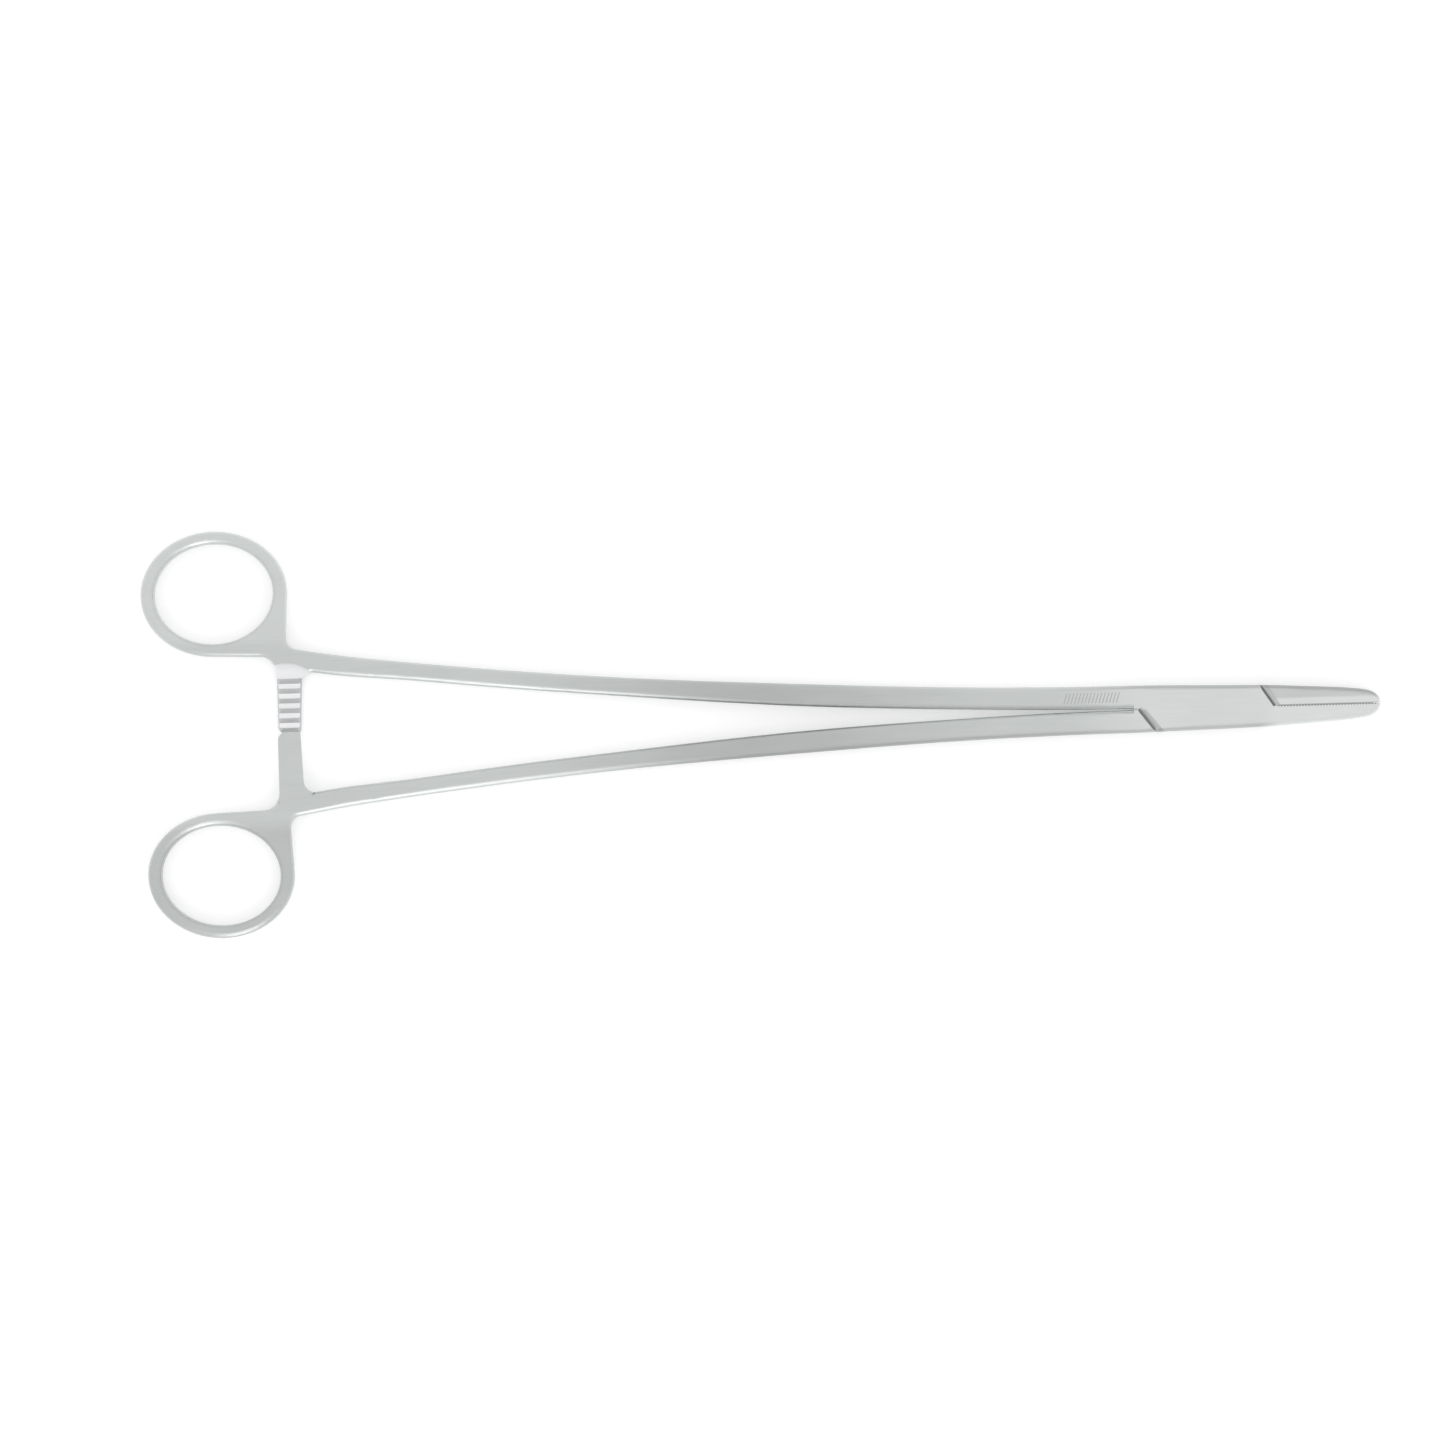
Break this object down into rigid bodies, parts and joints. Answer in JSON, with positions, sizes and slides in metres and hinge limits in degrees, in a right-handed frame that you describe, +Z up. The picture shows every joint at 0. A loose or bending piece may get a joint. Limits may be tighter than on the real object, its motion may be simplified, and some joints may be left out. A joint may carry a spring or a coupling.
{
  "type": "ring-handled forceps",
  "caption": "Straight ring-handled forceps with a box lock, a toothed ratchet between the shanks and short ridged jaws, lying closed.",
  "frame": {"origin": "on the lock pin's axis, at the underside of the lock, which is the surface the forceps lies on", "axes": "+X along the instrument from the rings towards the jaw tips, +Y towards the upper ring, +Z up from the surface it lies on and along the lock pin"},
  "size_m": [0.265, 0.087, 0.0056],
  "materials": {
    "forged_steel": "satin stainless steel with polished bevels",
    "pin_steel": "ground flush with the lock's faces"
  },
  "bodies": {
    "box_side": {"box_half": "forged_steel", "lock_pin": "pin_steel"},
    "tongue_side": {"tongue_half": "forged_steel"}
  },
  "joints": [
    {"name": "lock_hinge", "type": "hinge", "parent": "box_side", "child": "tongue_side", "pos_m": [0, 0, 0.0028], "axis": [0, 0, 1], "range_deg": [0, 40]}
  ]
}
